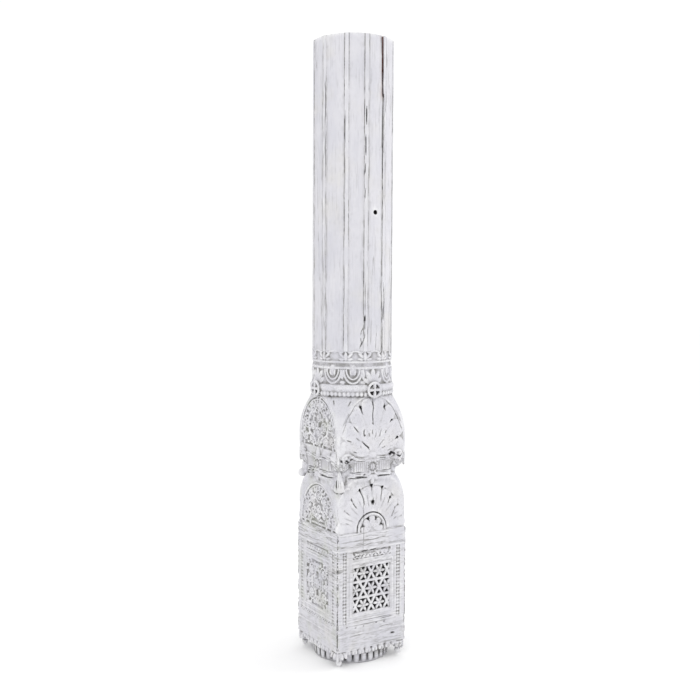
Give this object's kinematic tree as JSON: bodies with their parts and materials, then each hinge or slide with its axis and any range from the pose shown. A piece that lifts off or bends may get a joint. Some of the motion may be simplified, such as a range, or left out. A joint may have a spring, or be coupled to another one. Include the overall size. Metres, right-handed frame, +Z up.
{
  "type": "carved wooden column",
  "caption": "Tall carved timber column: hanging-bud base block with lattice and vine panels, two arched cushions parted by a reeded waist, beaded ring and long fluted round shaft.",
  "frame": {"origin": "on the floor, at the centre of the foot drum's flat underside", "axes": "+Z up along the shaft; -Y is the front, with the shells and star lattice; the vine carving faces -X and +X"},
  "size_m": [0.332, 0.332, 2.311],
  "materials": {
    "painted_wood": "aged white limewash paint, rubbed thin on edges, grey grime in the recesses"
  },
  "bodies": {
    "root": {"carved_column": "painted_wood"}
  },
  "joints": []
}
